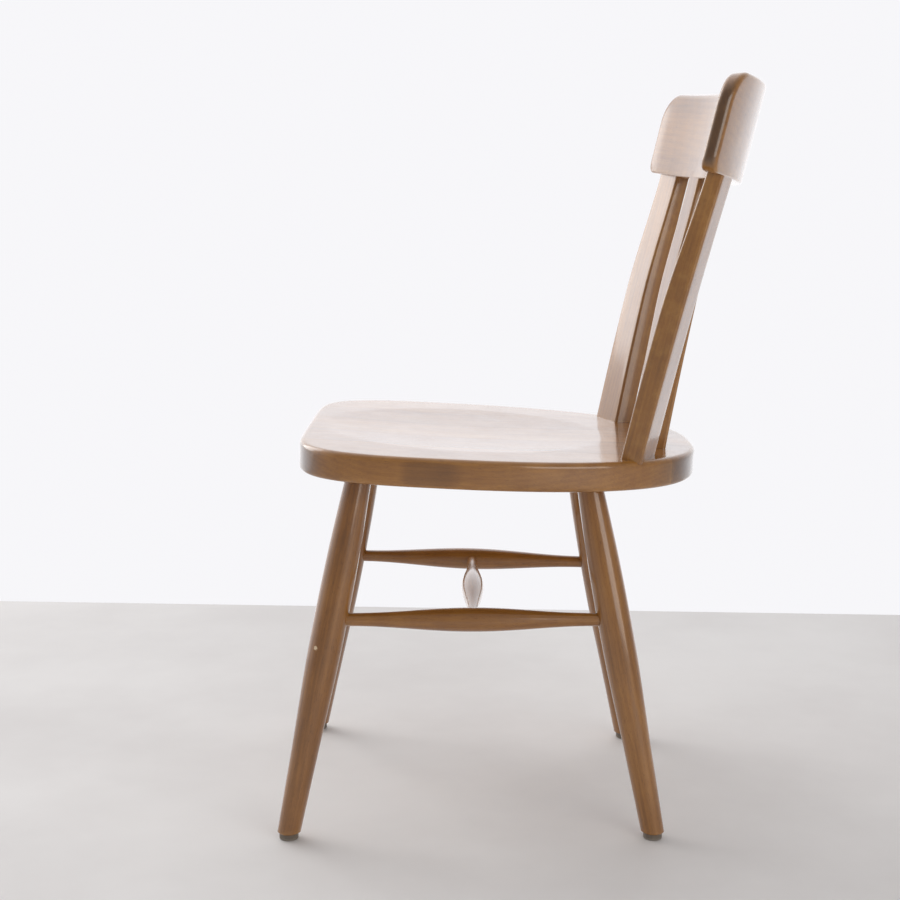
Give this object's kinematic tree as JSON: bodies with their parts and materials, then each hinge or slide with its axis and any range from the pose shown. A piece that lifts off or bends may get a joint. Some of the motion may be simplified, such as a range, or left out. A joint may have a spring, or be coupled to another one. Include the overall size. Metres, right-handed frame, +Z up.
{
  "type": "dining chair",
  "caption": "Wooden side chair with a shaped solid seat, splayed turned legs, stretchers, upright back slats and a curved crest rail.",
  "frame": {"origin": "on the floor, at the middle of the chair's overall box", "axes": "+Z up; -Y the way a sitter faces; +X to the sitter's left; the plane X = 0 is the plane of symmetry"},
  "size_m": [0.4844, 0.5324, 0.8383],
  "materials": {
    "seat_wood": "gloss",
    "leg_wood": "gloss",
    "stretcher_wood": "gloss",
    "back_wood": "gloss",
    "glide_plastic": "matte",
    "nail_steel": "satin"
  },
  "bodies": {
    "root": {"seat_board_left_outer": "seat_wood", "seat_board_left_inner": "seat_wood", "seat_board_center": "seat_wood", "seat_board_right_inner": "seat_wood", "seat_board_right_outer": "seat_wood", "front_leg_left": "leg_wood", "front_leg_right": "leg_wood", "rear_leg_left": "leg_wood", "rear_leg_right": "leg_wood", "side_stretcher_left": "stretcher_wood", "side_stretcher_right": "stretcher_wood", "cross_stretcher": "stretcher_wood", "slat_left_outer": "back_wood", "slat_left_inner": "back_wood", "slat_right_inner": "back_wood", "slat_right_outer": "back_wood", "crest_rail": "back_wood", "glide_front_left": "glide_plastic", "glide_front_right": "glide_plastic", "glide_rear_left": "glide_plastic", "glide_rear_right": "glide_plastic", "glide_nails": "nail_steel"}
  },
  "joints": []
}
